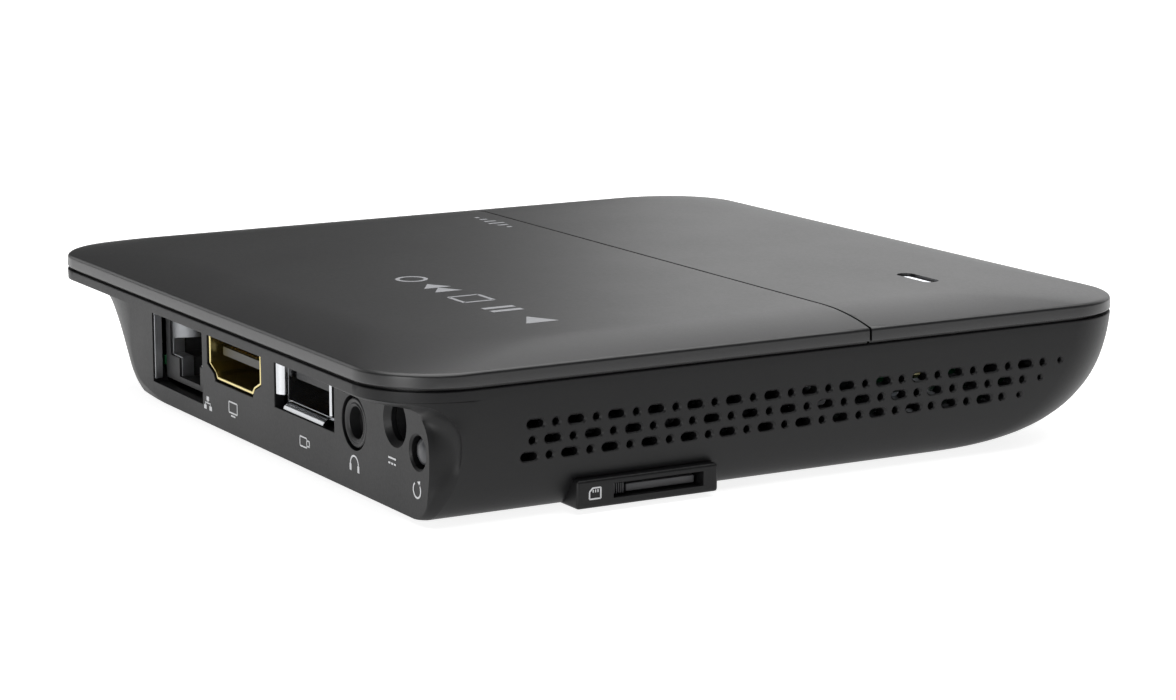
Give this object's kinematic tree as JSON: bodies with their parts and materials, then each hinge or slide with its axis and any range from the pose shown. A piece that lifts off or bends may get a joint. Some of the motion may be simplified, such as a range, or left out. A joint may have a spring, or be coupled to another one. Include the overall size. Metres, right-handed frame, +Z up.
{
  "type": "streaming media player",
  "caption": "Flat square streaming box with a bowl-shaped lower shell, a two-piece lid with a status light, a recessed rear port panel, side vents and a memory-card slot.",
  "frame": {"origin": "centre of the case's footprint, on the surface that the rubber feet rest on", "axes": "+Z up, +Y to the rear where the ports are, -Y to the front with the status light, -X to the vented side with the card slot"},
  "size_m": [0.1, 0.0988, 0.0182],
  "materials": {
    "case_black": "fine-grained satin black moulding",
    "lid_black": "soft-touch satin black moulding",
    "foot_rubber": "matte rubber",
    "screw_steel": "zinc-plated steel",
    "label_film": "blank silver-grey polyester film",
    "light_guide": "clear moulded light guide",
    "led_white": "white lamp body",
    "board_green": "green solder mask",
    "chip_black": "moulded epoxy",
    "pad_blue": "soft thermal pad",
    "sink_aluminium": "extruded aluminium",
    "inductor_grey": "ferrite",
    "can_metal": "tinned steel",
    "lead_black": "coaxial lead jacket",
    "socket_black": "black insulator",
    "contact_gold": "gold-plated contact",
    "shell_gold": "pale gold-plated shell",
    "button_grey": "satin dark grey cap",
    "slider_cream": "natural nylon",
    "pin_nickel": "nickel-plated pin"
  },
  "bodies": {
    "case": {"rear_lid": "lid_black", "front_lid": "lid_black", "lower_shell": "case_black", "near_bay": "case_black", "middle_bay": "case_black", "network_bay": "case_black", "rubber_feet": "foot_rubber", "case_screws": "screw_steel", "rating_label": "label_film", "light_pipe": "light_guide", "status_led": "led_white", "circuit_board": "board_green", "board_screws": "screw_steel", "processor": "chip_black", "thermal_pad": "pad_blue", "heat_sink": "sink_aluminium", "memory_chips": "chip_black", "flash_chip": "chip_black", "power_chips": "chip_black", "power_inductors": "inductor_grey", "capacitors": "sink_aluminium", "crystals": "can_metal", "network_transformer": "chip_black", "wifi_module": "board_green", "wifi_shield": "can_metal", "antenna_board": "board_green", "antenna_lead": "lead_black", "network_housing": "socket_black", "network_shield": "can_metal", "network_contacts": "contact_gold", "hdmi_shell": "shell_gold", "hdmi_tongue": "socket_black", "hdmi_contacts": "contact_gold", "usb_shell": "can_metal", "usb_tongue": "socket_black", "usb_contacts": "contact_gold", "audio_jack": "socket_black", "audio_springs": "contact_gold", "power_jack": "socket_black", "power_pin": "pin_nickel", "power_spring": "contact_gold", "reset_switch": "chip_black", "card_frame": "socket_black", "card_cage": "can_metal", "card_contacts": "contact_gold", "card_spring": "screw_steel"},
    "reset": {"reset_button": "button_grey", "reset_plunger": "inductor_grey"},
    "card_pusher": {"card_slider": "slider_cream"}
  },
  "joints": [
    {"name": "reset_press", "type": "slide", "parent": "case", "child": "reset", "axis": [0, -1, 0], "range_m": [0, 0.0005], "stiffness_N_per_m": 2000},
    {"name": "card_push", "type": "slide", "parent": "case", "child": "card_pusher", "axis": [1, 0, 0], "range_m": [0, 0.0013], "stiffness_N_per_m": 500, "deforming": ["card_spring"]}
  ]
}
